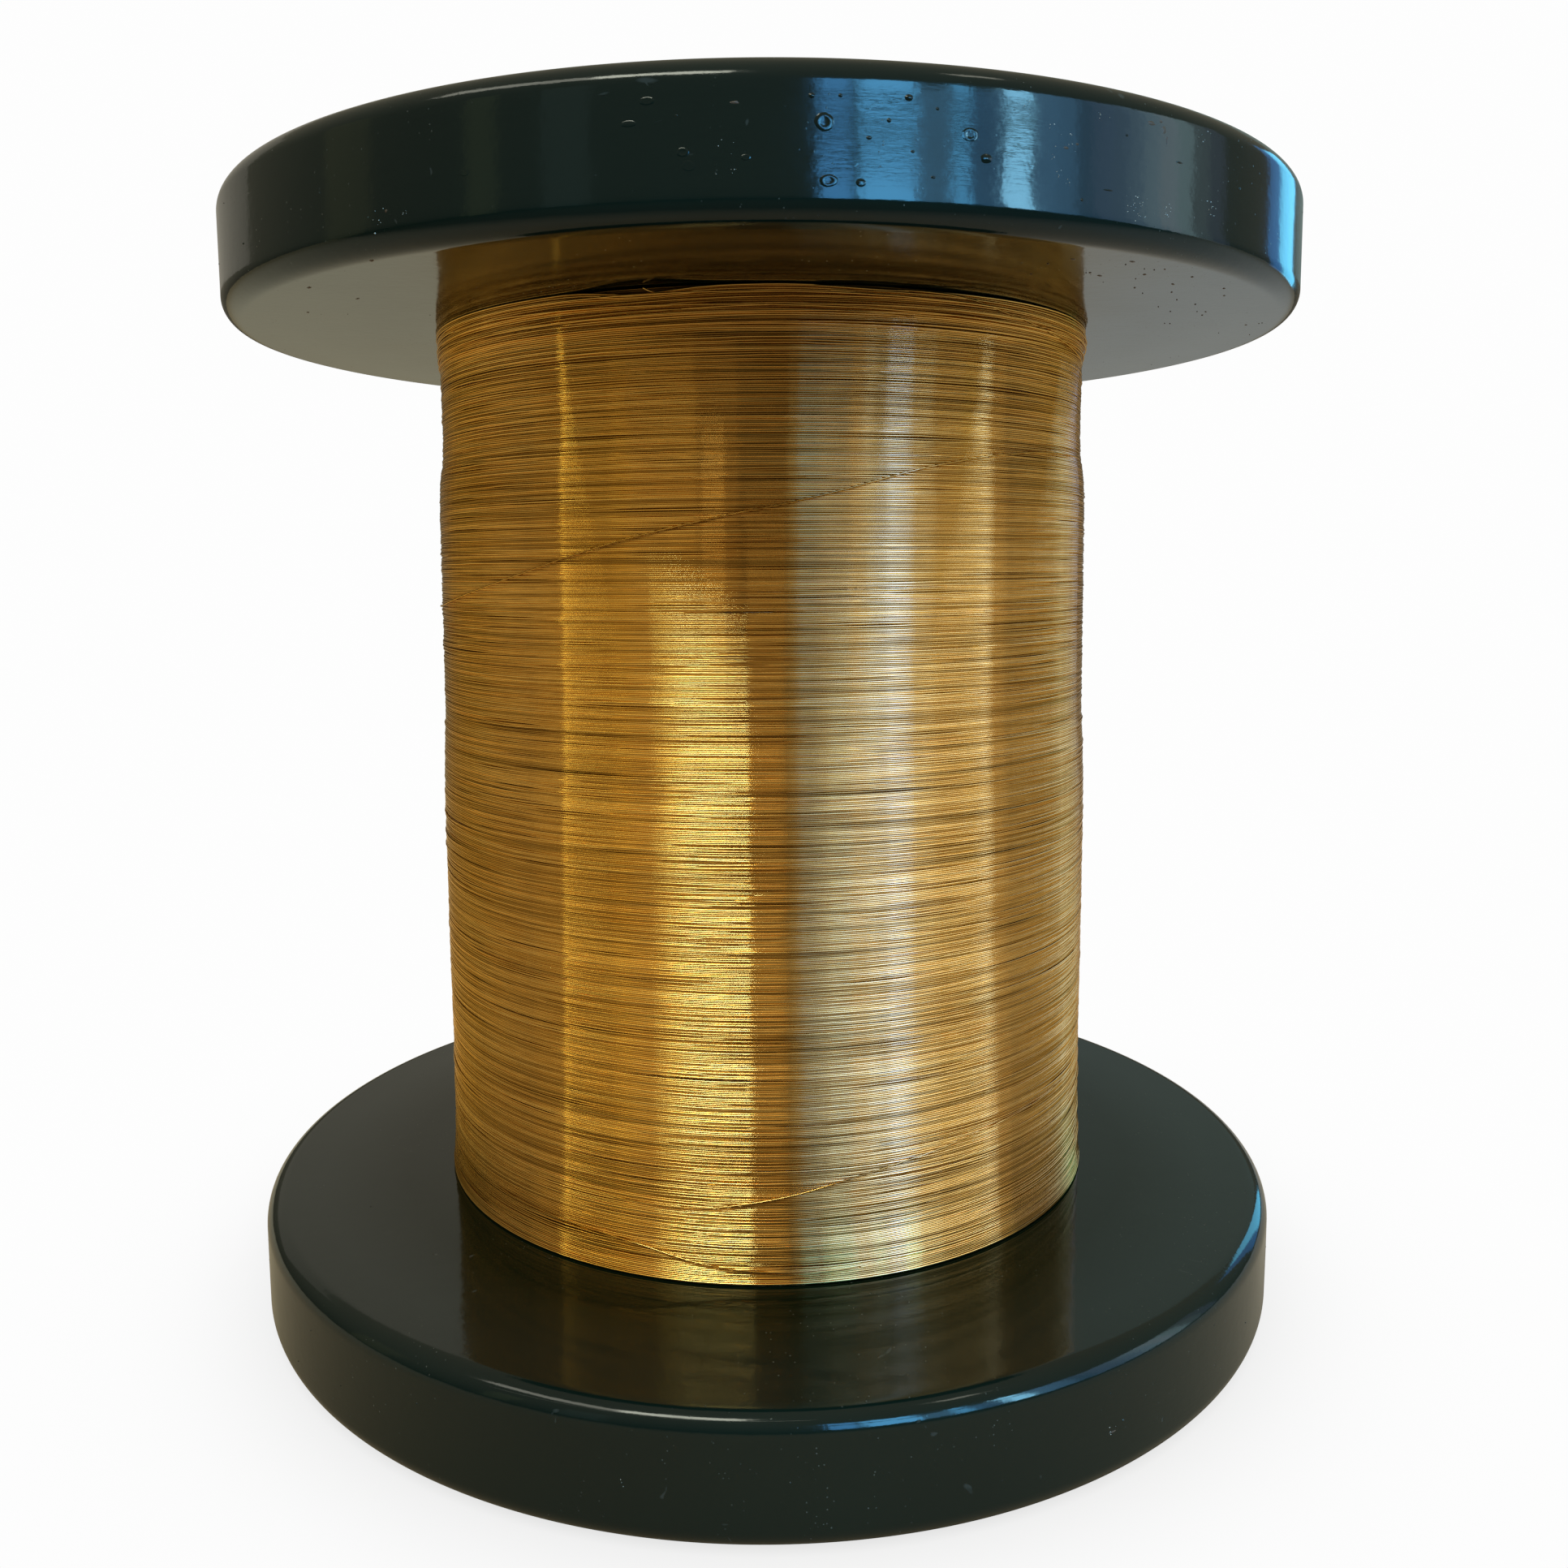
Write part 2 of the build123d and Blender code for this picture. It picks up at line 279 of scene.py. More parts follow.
# ------------------------------------------------------------------ materials
def enamel_material(name, wear, tint):
    """Thick glossy dark green enamel: orange peel, dust, fine scratches, small chips."""
    s = material_shader(name)
    place = s.coords()
    cloud = s.noise(place, scale=14.0, detail=3.0, rough=0.6)
    color = s.mix(cloud, scaled(tint, 0.75), scaled(tint, 1.35))

    # settled dust: tiny pale specks in clusters
    cells = s.add("ShaderNodeTexVoronoi", Vector=place, Scale=900.0)
    speck = s.ramp(cells.outputs["Distance"], (0.0, 1.0), (0.10, 0.85), (0.16, 0.0))
    kept = s.ramp(cells.outputs["Color"], (0.0, 0.0), (0.66, 0.0), (0.72, 1.0))
    patch = s.ramp(s.noise(place, scale=30.0, detail=5.0, rough=0.65), (0.46, 0.0), (0.62, 1.0))
    dust = s.math("MULTIPLY", s.math("MULTIPLY", speck, kept), patch)

    # hairline scratches in two directions, from noise stretched along one axis
    def scratches(rotation, low, high):
        stretched = s.add("ShaderNodeMapping", Vector=s.coords(rotation),
                          Scale=(7.0, 260.0, 260.0)).outputs["Vector"]
        lines = s.noise(stretched, scale=1.0, detail=2.0, rough=0.5, distortion=0.6)
        return s.ramp(lines, (0.0, 0.0), (low, 0.0), (high, 1.0))

    scratch = s.math("MAXIMUM", scratches((0.2, 0.1, 0.5), low=0.735, high=0.765),
                     scratches((0.5, -0.3, -1.1), low=0.745, high=0.775))

    # rare chips down to red-brown primer
    chip = s.ramp(s.noise(place, scale=120.0, detail=6.0, rough=0.7),
                  (0.0, 0.0), (0.775, 0.0), (0.785, 1.0))

    # painted shade next to the wire: the face there is darker, and loses some of its shine and
    # its blue
    to_axis = s.axis_distance(s.split(place))
    wire_side_shade = s.ramp(s.math("MULTIPLY", to_axis, 5.0), (0.46, 1.0), (0.56, 0.0))
    color = s.mix(wire_side_shade, color, scaled(tint, 0.80, 0.70, 0.40))
    color = s.mix(s.math("MULTIPLY", dust, 0.55 * wear), color, (0.20, 0.19, 0.15))
    color = s.mix(s.math("MULTIPLY", scratch, 0.30 * wear), color, (0.11, 0.115, 0.10))
    color = s.mix(s.math("MULTIPLY", chip, wear), color, (0.055, 0.030, 0.016))

    uneven = s.noise(place, scale=90.0, detail=4.0, rough=0.6)
    rough = s.ramp(uneven, (0.25, 0.070), (0.75, 0.125))
    rough = s.math("ADD", rough, s.math("MULTIPLY", dust, 0.35))
    rough = s.math("ADD", rough, s.math("MULTIPLY", chip, 0.45), clamp=True)

    # lines that run round the reel, on the rim only
    xyz = s.split(place)
    turn = s.math("ARCTAN2", xyz[1], xyz[0])
    on_rim = s.math("GREATER_THAN", s.axis_distance(xyz), FLANGE_RADIUS - 1.2 * MM)
    unrolled = s.add("ShaderNodeCombineXYZ", X=s.math("MULTIPLY", turn, 26.0),
                     Y=s.math("MULTIPLY", xyz[2], 1500.0)).outputs[0]
    runs = s.noise(unrolled, scale=1.0, detail=3.0, rough=0.6, distortion=0.3)
    runs = s.math("MULTIPLY", runs, on_rim)

    peel = s.noise(place, scale=420.0, detail=2.0, rough=0.5)
    swell = s.noise(place, scale=45.0, detail=2.0, rough=0.5)
    specks = s.math("ADD", dust, s.math("MULTIPLY", scratch, -0.5))
    normal = s.bump(swell, strength=0.02, distance=0.004)
    normal = s.bump(peel, strength=0.020, distance=0.001, Normal=normal)
    normal = s.bump(runs, strength=0.10, distance=0.00012, Normal=normal)
    normal = s.bump(specks, strength=0.25, distance=0.00006, Normal=normal)
    normal = s.bump(chip, strength=0.8, distance=-0.00025, Normal=normal)
    return s.principled(Base_Color=color, Metallic=0.0, Roughness=rough, IOR=1.46,
                        Normal=normal,
                        Specular_IOR_Level=s.math("MULTIPLY_ADD", wire_side_shade, -0.15, 0.5))


def wire_material():
    """Drawn brass: per-turn tone, faint tarnish, fine drawing lines."""
    s = material_shader("brass_wire_drawn")
    clean = (0.80, 0.503, 0.136)
    warm = scaled(clean, 0.86, 0.76, 0.62)
    pale = scaled(clean, 1.12, 1.16, 1.30)
    place = s.coords()
    attribute = s.add("ShaderNodeAttribute")
    attribute.attribute_name = "tone"
    attribute.attribute_type = "GEOMETRY"
    tone = attribute.outputs["Fac"]
    streak = s.noise(s.coords(scale=(60.0, 60.0, 900.0)), scale=3.0, detail=4.0, rough=0.6)
    tarnish = s.noise(place, scale=55.0, detail=5.0, rough=0.62)
    color = s.mix(s.ramp(tarnish, (0.30, 0.0), (0.70, 1.0)), warm, clean)
    color = s.mix(s.ramp(tone, (0.45, 0.0), (1.0, 0.9)), color, pale)
    color = s.mix(s.ramp(tone, (0.0, 0.75), (0.5, 0.0)), color, scaled(warm, 0.42))
    color = s.mix(s.ramp(streak, (0.35, 0.25), (0.60, 0.0)), color, scaled(warm, 0.45))
    rough = s.math("ADD", s.math("MULTIPLY", streak, 0.07), 0.045)
    return s.principled(Base_Color=color, Metallic=1.0, Roughness=rough,
                        Normal=s.bump(streak, strength=0.06, distance=0.00003),
                        Specular_Tint=(0.92, 0.72, 0.46))


def layers_material(wire):
    """Wound wire seen in the gaps: brass darkened as painted shade, with bands of painted light
    and shade over the turns beneath.
    """
    s = material_shader("shaded_brass_layers")
    bands_at_scale_1 = 3.183        # bands of the wave texture in one metre
    place = s.coords()
    wave = s.add("ShaderNodeTexWave", Vector=place, Distortion=0.15,
                 Scale=1.0 / (wire * 1.04) / bands_at_scale_1)
    wave.wave_type = "BANDS"
    wave.bands_direction = "Z"
    relief_and_shading = wave.outputs["Fac"]
    blotch = s.noise(place, scale=60.0, detail=4.0, rough=0.6)
    # painted light and shade: lighter on each turn's band, darker between them, all kept dark as
    # the shade in the gaps
    color = s.mix(relief_and_shading, (0.14, 0.065, 0.018), (0.62, 0.36, 0.10))
    color = s.mix(s.math("MULTIPLY", blotch, 0.4), color, (0.20, 0.10, 0.03))
    return s.principled(Base_Color=color, Metallic=1.0,
                        Roughness=s.ramp(blotch, (0.3, 0.28), (0.7, 0.42)),
                        Normal=s.bump(relief_and_shading, strength=1.0, distance=wire * 0.5))


def steel_material():
    """Bare machined steel: turning lines and a little surface rust."""
    s = material_shader("steel_bush")
    steel = (0.52, 0.52, 0.50)
    place = s.coords()
    xyz = s.split(place)
    squares = [s.math("POWER", xyz[i], 2.0) for i in (0, 1)]
    radius = s.math("POWER", s.math("ADD", *squares), 0.5)
    section = s.add("ShaderNodeCombineXYZ", X=radius, Y=xyz[2]).outputs[0]
    lines = s.noise(section, scale=2600.0, detail=2.0, rough=0.6)
    blotch = s.noise(place, scale=70.0, detail=5.0, rough=0.65)
    color = s.mix(lines, scaled(steel, 0.82), steel)
    rust = s.math("MULTIPLY", s.ramp(blotch, (0.52, 0.0), (0.72, 1.0)), 0.25)
    color = s.mix(rust, color, (0.20, 0.085, 0.035))
    metal = s.math("SUBTRACT", 1.0, s.math("MULTIPLY", rust, 0.9))
    rough = s.math("ADD", s.ramp(lines, (0.3, 0.22), (0.7, 0.36)),
                   s.math("MULTIPLY", rust, 0.5), clamp=True)
    return s.principled(Base_Color=color, Metallic=metal, Roughness=rough,
                        Normal=s.bump(lines, strength=0.25, distance=0.00003))


def primer_material():
    """Dull grey primer with rust patches."""
    s = material_shader("primed_steel")
    grey = (0.10, 0.11, 0.10)
    place = s.coords()
    cloud = s.noise(place, scale=35.0, detail=5.0, rough=0.65)
    grain = s.noise(place, scale=700.0, detail=2.0, rough=0.5)
    color = s.mix(cloud, scaled(grey, 0.6), scaled(grey, 1.3))
    rust = s.ramp(s.noise(place, scale=18.0, detail=6.0, rough=0.7), (0.56, 0.0), (0.70, 0.8))
    color = s.mix(rust, color, (0.16, 0.07, 0.03))
    return s.principled(Base_Color=color, Metallic=0.0,
                        Roughness=s.ramp(cloud, (0.3, 0.5), (0.7, 0.75)),
                        Normal=s.bump(grain, strength=0.3, distance=0.0002))


def chip_material():
    """Red-brown primer laid bare by a chip."""
    s = material_shader("chipped_primer")
    grain = s.noise(s.coords(), scale=900.0, detail=4.0, rough=0.65)
    return s.principled(Base_Color=s.mix(grain, (0.055, 0.026, 0.013), (0.17, 0.10, 0.06)),
                        Metallic=0.0, Roughness=s.ramp(grain, (0.3, 0.35), (0.7, 0.6)),
                        Normal=s.bump(grain, strength=0.6, distance=0.0001))


def grit_material():
    s = material_shader("pale_grit")
    grain = s.noise(s.coords(), scale=1500.0, detail=3.0, rough=0.6)
    return s.principled(Base_Color=s.mix(grain, (0.35, 0.36, 0.33), (0.75, 0.76, 0.70)),
                        Metallic=0.0, Roughness=s.ramp(grain, (0.3, 0.2), (0.7, 0.5)))


enamel = enamel_material("enamel_gloss", wear=1.0, tint=(0.0045, 0.0125, 0.0088))
enamel_outer = enamel_material("enamel_outer", wear=1.6, tint=(0.009, 0.0145, 0.010))
brass = wire_material()
steel = steel_material()
primed = primer_material()


# ------------------------------------------------------------------ flanges
def skin_profile():
    """(r, z) section of the lower flange: face, rounded edge, straight rim, curled lip."""
    edge, thick = EDGE_RADIUS, FLANGE_THICK
    edge_r = FLANGE_RADIUS - edge                 # centre of both edge roundings
    flat_end = edge_r - 0.6 * MM
    fold = 0.7 * MM                               # rounding at the end of the lip
    points = [(BARREL_RADIUS, thick)]
    points += between((BARREL_RADIUS, thick), (flat_end, thick), 2.0 * MM)
    points += [(flat_end, thick)]
    points += arc(edge_r, thick - edge, edge, 90, 0, 17)
    points += between((FLANGE_RADIUS, thick - edge), (FLANGE_RADIUS, edge), 1.6 * MM)
    points += arc(edge_r, edge, edge, 0, -90, 17)
    points += [(flat_end, 0.0)] + between((flat_end, 0.0), (LIP_RADIUS, 0.0), 2.5 * MM)
    points += arc(LIP_RADIUS + fold, fold, fold, 270, 180, 5)
    # back along the inside of the sheet
    points += [(LIP_RADIUS, SKIN)] + between((LIP_RADIUS, SKIN), (edge_r, SKIN), 3.0 * MM)
    points += arc(edge_r, edge, edge - SKIN, -90, 0, 7)
    points += arc(edge_r, thick - edge, edge - SKIN, 0, 90, 7)
    inside = (BARREL_RADIUS, thick - SKIN)
    return points + between((edge_r, thick - SKIN), inside, 6.0 * MM) + [inside]


def waver(seed, face_depth=0.035 * MM, rim_depth=0.030 * MM, rim_shrink=0.05 * MM):
    """Slight unevenness of the face (along z) and of the rim (along r)."""
    random = np.random.default_rng(seed)
    # waves round the reel, share of each
    harmonics = [(2, 1.0), (3, 0.8), (5, 0.5), (7, 0.35), (11, 0.22), (17, 0.12)]
    phases = random.uniform(0, 2 * np.pi, (len(harmonics), 3))
    radial_rates = random.uniform(60, 180, len(harmonics))
    rim_rate = 160

    def wave(r, z, theta):
        face = rim = 0
        for (k, share), phase, rate in zip(harmonics, phases, radial_rates):
            face = face + share * np.sin(k * theta + phase[0]) * np.cos(rate * r + phase[1])
            rim = rim + share * np.sin(k * theta + phase[2]) * np.cos(rim_rate * z + phase[0])
        on_face = (np.clip((FLANGE_RADIUS - r) / (14 * MM), 0, 1)
                   * np.clip((r - BARREL_RADIUS) / (5 * MM), 0, 1))
        on_rim = np.clip((r - (FLANGE_RADIUS - 6 * MM)) / (5 * MM), 0, 1)
        return rim_depth * rim * on_rim - rim_shrink * on_rim, face_depth * face * on_face
    return wave


lower_profile = skin_profile()
upper_profile = [(r, REEL_LENGTH - z) for r, z in lower_profile]
for side, profile, seed in (("lower", lower_profile, 3), ("upper", upper_profile, 8)):
    skin = lathe(side + "_flange_skin", profile, waver(seed))
    fit_out(skin, enamel, side + "_inner_wall")


def weld_bead(name, r, z, size, seed, up):
    """Rippled ring of weld. up is 1 or -1, the way its section runs along z."""
    random = np.random.default_rng(seed)
    steps, sides = 900, 8
    theta = np.arange(steps) / steps * 2 * np.pi
    ripple = 1 + 0.10 * np.sin(theta * 260 + 2.0 * np.sin(theta * 9))
    ripple = ripple + 0.06 * random.standard_normal(steps)
    radius = size * ripple
    rows = []
    for k in range(sides):
        a = 2 * np.pi * k / sides
        row_r = r + radius * math.cos(a)
        rows.append(np.stack([row_r * np.cos(theta), row_r * np.sin(theta),
                              z + up * radius * 0.8 * math.sin(a)], 1))
    grid = np.stack(rows, 1)
    if up > 0:
        grid = grid[:, ::-1]
    fit_out(grid_object(name, [grid], closed=True), enamel_outer)


# curled lip and hub ring to the outer wall; inset is the height from the flange's outer face
for part, radius, inset, size, seeds in (
        ("lip", LIP_RADIUS - 0.25 * MM, SKIN + 0.05 * MM, 1.1 * MM, (5, 6)),
        ("hub", HUB_WELD_RADIUS, SKIN - 0.1 * MM, 1.0 * MM, (7, 9))):
    weld_bead("lower_%s_weld" % part, radius, inset, size, seeds[0], up=-1)
    weld_bead("upper_%s_weld" % part, radius, REEL_LENGTH - inset, size, seeds[1], up=1)


# ------------------------------------------------------------------ marks in the enamel
def on_rim(turn, z):
    """Centre, normal and two tangents of a place on the rim. turn in degrees, z in mm."""
    a = math.radians(turn)
    normal = Vector((math.sin(a), -math.cos(a), 0))
    centre = normal * FLANGE_RADIUS + Vector((0, 0, z * MM))
    return centre, normal, Vector((math.cos(a), math.sin(a), 0)), Vector((0, 0, 1))


def on_face(turn, r, upper):
    """The same on the flange face towards the wire. r in mm."""
    a = math.radians(turn)
    out = Vector((math.sin(a), -math.cos(a), 0))
    centre = out * (r * MM) + Vector((0, 0, UPPER_FACE_Z if upper else FLANGE_THICK))
    normal = Vector((0, 0, -1 if upper else 1))
    return centre, normal, Vector((math.cos(a), math.sin(a), 0)), out


def add_mark(bm, place, half_u, half_v, height, ragged, ring_like, random):
    """Closed lens: a raised top over a flat back sunk under the enamel.
    ring_like blends the top from a dome (0) to a ring (1)."""
    rings, segments = 5, 18
    sunk = -0.16 * MM
    centre, normal, u, v = place
    jitter = np.convolve(random.standard_normal(segments + 4), np.ones(3) / 3, "same")[2:-2]
    outline = 1 + ragged * jitter
    top = bm.verts.new(centre + normal * (sunk + (height - sunk) * (1 - ring_like)))
    rows = []
    for k in range(1, rings + 1):
        q = k / rings
        rise = ((1 - q ** 2) ** 2 * (1 - ring_like)
                + ring_like * math.exp(-((q - 0.62) / 0.22) ** 2))
        if k == rings:
            rise = 0.0
        row = []
        for i in range(segments):
            a = 2 * math.pi * i / segments
            row.append(bm.verts.new(centre + u * (half_u * q * outline[i] * math.cos(a))
                                    + v * (half_v * q * outline[i] * math.sin(a))
                                    + normal * (sunk + (height - sunk) * rise)))
        rows.append(row)
    step = -1 if u.cross(v).dot(normal) < 0 else 1
    for i in range(segments):
        j = (i + 1) % segments
        bm.faces.new([top, rows[0][i], rows[0][j]][::step])
        for near, far in zip(rows[:-1], rows[1:]):
            bm.faces.new([near[i], far[i], far[j], near[j]][::step])
    bm.faces.new(rows[-1][::-step])


def mark_object(name, marks, material):
    """marks: place, half width, half height, rise (all mm), raggedness, ring_like."""
    bm = bmesh.new()
    random = np.random.default_rng(len(marks))
    for place, half_u, half_v, height, ragged, ring_like in marks:
        add_mark(bm, place, half_u * MM, half_v * MM, height * MM, ragged, ring_like, random)
    mesh = bpy.data.meshes.new(name)
    bm.to_mesh(mesh)
    bm.free()
    mesh.shade_smooth()
    mesh.set_sharp_from_angle(angle=math.radians(60))
    fit_out(add_object(name, mesh), material)


mark_rng = np.random.default_rng(77)

# turn, z, half width, half height, rise before flattening, ring_like
BLISTERS = [
    (4.7, 245.0, 1.9, 1.8, 0.30, 0.55), (17.1, 240.7, 1.5, 1.1, 0.34, 0.0),
    (5.0, 236.1, 2.0, 1.3, 0.26, 0.5), (7.4, 235.9, 1.3, 1.0, 0.22, 0.2),
    (11.0, 249.2, 1.0, 0.8, 0.28, 0.0), (3.8, 249.0, 0.8, 0.7, 0.20, 0.0),
    (5.9, 249.1, 0.55, 0.5, 0.16, 0.0), (9.5, 245.6, 0.6, 0.6, 0.16, 0.0),
    (8.0, 242.8, 0.8, 0.5, 0.18, 0.0), (11.3, 241.0, 0.6, 0.4, 0.16, 0.0),
    (15.8, 244.2, 1.9, 1.4, 0.14, 0.6), (12.9, 237.2, 0.7, 0.4, 0.15, 0.0),
    (-23.0, 240.2, 1.2, 0.8, 0.14, 0.5), (-5.2, 238.5, 1.6, 1.2, 0.12, 0.5),
    (13.2, 247.8, 0.5, 0.4, 0.14, 0.0), (-8.2, 248.6, 1.7, 0.9, 0.24, 0.4),
    (-9.6, 245.3, 1.9, 0.8, 0.22, 0.3), (-5.6, 240.6, 1.4, 1.0, 0.22, 0.5),
    (-1.0, 239.6, 1.1, 0.7, 0.20, 0.4), (36.0, 244.9, 1.3, 0.25, 0.26, 0.0),
    (28.1, 238.0, 1.6, 0.2, 0.24, 0.0)]
# turn, z, half width, half height
RIM_CHIPS = [
    (32.6, 250.3, 1.7, 0.6), (33.6, 250.9, 0.8, 0.4), (-30.8, 236.1, 0.5, 0.5),
    (31.6, 10.9, 1.5, 0.25), (24.0, 243.8, 0.9, 0.3), (25.0, 244.6, 0.5, 0.3),
    (-1.8, 247.96, 1.3, 0.42), (34.0, 249.6, 0.9, 1.1), (34.4, 247.9, 0.3, 1.2)]
# turn, r, half width, half depth, all on the upper face
FACE_CHIPS = [
    (35.4, 116.1, 1.6, 0.7), (41.1, 110.4, 0.8, 0.8), (47.6, 109.3, 1.4, 0.5),
    (76.9, 114.5, 1.2, 0.6), (-34.7, 121.0, 0.9, 0.5), (-49.0, 116.0, 1.3, 0.6),
    (-62.6, 108.4, 1.0, 0.6), (-51.5, 104.0, 1.5, 0.5), (30.0, 112.0, 1.0, 0.4),
    (38.0, 104.5, 1.3, 0.5), (57.0, 113.0, 0.9, 0.5), (66.0, 106.0, 1.1, 0.4)]
# turn, z, spread, count of a cluster of grains on the rim
GRIT = [
    (30.6, 235.7, 1.1, 16), (24.2, 244.5, 0.9, 7), (24.4, 238.4, 0.5, 4), (20.4, 250.4, 0.4, 3),
    (-38.6, 243.0, 0.4, 2), (31.6, 10.9, 0.7, 5), (-12.0, 12.0, 0.5, 3), (27.2, 250.0, 0.7, 6),
    (22.6, 246.9, 0.5, 3), (22.9, 242.0, 0.4, 3), (23.4, 239.6, 0.5, 4), (34.9, 236.6, 0.8, 9),
    (40.6, 238.5, 1.0, 10), (39.0, 250.2, 0.8, 5), (31.8, 236.0, 1.1, 12),
    (-31.7, 235.6, 1.0, 8), (-29.0, 235.2, 0.6, 4), (-2.4, 240.0, 1.6, 9)]


def add_blisters():
    """The placed blisters, then small nibs scattered over rims and faces."""
    uniform = mark_rng.uniform
    marks = [(on_rim(turn, z), half_u, half_v, rise * 0.62, 0.05, ring_like)
             for turn, z, half_u, half_v, rise, ring_like in BLISTERS]
    for _ in range(46):
        turn = uniform(0, 360)
        lower = mark_rng.random() < 0.45
        from_end = uniform(6, 22)
        z = from_end if lower else REEL_LENGTH / MM - from_end
        size = uniform(0.22, 0.55)
        marks.append((on_rim(turn, z), size, size * uniform(0.6, 1.0),
                      uniform(0.06, 0.15), 0.08, 0.0))
    for _ in range(40):
        turn, r = uniform(0, 360), uniform(84, 119)
        upper = mark_rng.random() < 0.5
        size = uniform(0.18, 0.42)
        marks.append((on_face(turn, r, upper), size, size * uniform(0.6, 1.0),
                      uniform(0.05, 0.11), 0.08, 0.0))
    mark_object("enamel_blisters", marks, enamel)


def add_chips():
    """The placed chips, then small ones scattered over the right of the upper face."""
    ragged = 0.22
    marks = [(on_rim(turn, z), half_u, half_v, 0.07, ragged, 0.0)
             for turn, z, half_u, half_v in RIM_CHIPS]
    face_chips = list(FACE_CHIPS)
    for _ in range(26):
        turn, r = mark_rng.uniform(20, 85), mark_rng.uniform(96, 119)
        size = mark_rng.uniform(0.25, 0.7)
        face_chips.append((turn, r, size, size * mark_rng.uniform(0.4, 1.0)))
    marks += [(on_face(turn, r, True), half_u, half_v, 0.15, ragged, 0.0)
              for turn, r, half_u, half_v in face_chips]
    mark_object("enamel_chips", marks, chip_material())


def add_grit():
    marks = []
    for turn, z, spread, count in GRIT:
        for _ in range(count):
            size = mark_rng.uniform(0.07, 0.20)
            place = on_rim(turn + mark_rng.normal(0, spread * 0.45),
                           z + mark_rng.normal(0, spread))
            marks.append((place, size, size * mark_rng.uniform(0.6, 1.0), 0.07, 0.15, 0.0))
    mark_object("rim_grit", marks, grit_material())


add_blisters()
add_chips()
add_grit()


# ------------------------------------------------------------------ winding
def sleeve_profile():
    """Heights, outer radii and usual wall thickness of the CAD sleeve round the winding."""
    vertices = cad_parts["winding_outer_layer"].data.vertices
    points = np.empty(len(vertices) * 3)
    vertices.foreach_get("co", points)
    points = points.reshape(-1, 3)
    radii = np.hypot(points[:, 0], points[:, 1])
    heights = np.unique(np.round(points[:, 2], 5))
    # inner and outer surface share their heights, so the largest radius is the outer one
    rows = [radii[np.abs(points[:, 2] - z) < 1.5e-5] for z in heights]
    outer = np.array([row.max() for row in rows])
    walls = [row.max() - row.min() for row in rows]
    return heights, outer, float(np.median(walls))


sleeve_z, sleeve_r, sleeve_wall = sleeve_profile()
WIRE = round(sleeve_wall, 5)        # wire diameter: one layer is as thick as the sleeve


def wound_radius(z):
    return np.interp(z, sleeve_z, sleeve_r)


shaded_brass_layers = layers_material(WIRE)

SEGMENTS = 120                      # points in each turn
TURN_SIDES = 6
STRAND_SIDES = 8
COIL_LENGTH = WOUND_TO - WOUND_FROM - WIRE
TURNS = int(COIL_LENGTH / (WIRE * 1.07))
PITCH = COIL_LENGTH / TURNS
theta = np.arange(SEGMENTS) / SEGMENTS * 2 * np.pi + np.pi / 2     # from the back
turn_deg = np.degrees(np.arctan2(np.cos(theta), -np.sin(theta)))
part_turn = (np.arange(SEGMENTS) / SEGMENTS)[None]

# dips of the top turns, which elsewhere lie against the flange
dip = bell(turn_deg, -17.5, 5.5) + 0.20 * bell(turn_deg, -3, 8)
dip += 0.45 * bell(turn_deg, 18, 6) + 0.16 * bell(turn_deg, 34, 12)
DIP_DEPTH = 1.30


def turn_noise(knots, along=0.0):
    """Smooth periodic random function of the angle for each turn, unit spread.
    along is how many turns it stays alike over."""
    values = rng.standard_normal((TURNS, knots))
    if along > 0:
        # drawn afresh with spare turns at both ends; the draw above only moves rng on
        kernel = bell_kernel(along)
        kernel /= np.sqrt((kernel ** 2).sum())
        padded = rng.standard_normal((TURNS + 2 * (len(kernel) // 2), knots))
        values = np.stack([np.convolve(padded[:, j], kernel, "valid")
                           for j in range(knots)], 1)
    return np.fft.irfft(np.fft.rfft(values, axis=1), SEGMENTS, axis=1) * SEGMENTS / knots


def smooth_along(values, sigma):
    """Gaussian mean over neighbouring turns, ends mirrored."""
    kernel = bell_kernel(sigma)
    kernel /= kernel.sum()
    pad = len(kernel) // 2
    padded = np.concatenate([values[pad:0:-1], values, values[-2:-pad - 2:-1]])
    return np.stack([np.convolve(padded[:, j], kernel, "valid")
                     for j in range(values.shape[1])], 1)


def turn_gaps():
    """Gap after each turn, in metres."""
    gap = 0.42 * np.clip(turn_noise(26) - 1.55, 0, 0.8)       # short and wide
    gap += 0.05 * np.clip(turn_noise(12), 0, 2)               # general looseness
    gap += 0.12 * np.clip(turn_noise(7) - 1.45, 0, 1.0)       # long and narrow
    # a few clear helical gaps near the top
    heights = np.linspace(WOUND_FROM, WOUND_TO, TURNS)
    for k, z in enumerate((205.2, 211.8, 216.6)):
        gap[int(np.abs(heights - z * MM).argmin())] += 0.30 + 0.10 * np.sin(theta + 2.1 * k)
    gap[int(np.abs(heights - 222.9 * MM).argmin())] += 0.62 * bell(turn_deg, 31, 18)
    return gap * MM


def turn_heights():
    """Even pitch plus local bunching, which does not build up into waves."""
    shift = np.concatenate([np.zeros((1, SEGMENTS)), np.cumsum(WIRE + turn_gaps(), 0)])
    number = np.arange(TURNS + 1)
    shift = shift - number[:, None] * PITCH
    shift = shift - smooth_along(shift, 2.6)
    shift = shift * np.clip(np.minimum(number, number[::-1]) / 6, 0, 1)[:, None]
    z = (WOUND_FROM + WIRE / 2 + (number[:-1, None] + part_turn) * PITCH
         + shift[:-1] * (1 - part_turn) + shift[1:] * part_turn)
    near_top = np.clip((z - (WOUND_TO - 5 * MM)) / (5 * MM), 0, 1) ** 2
    lift = 0.42 + 0.26 * np.clip((-turn_deg - 16) / 12, 0, 1)
    z = z + (lift[None] - DIP_DEPTH * dip[None]) * MM * near_top
    return np.minimum(z, UPPER_FACE_Z - 0.20 * MM)


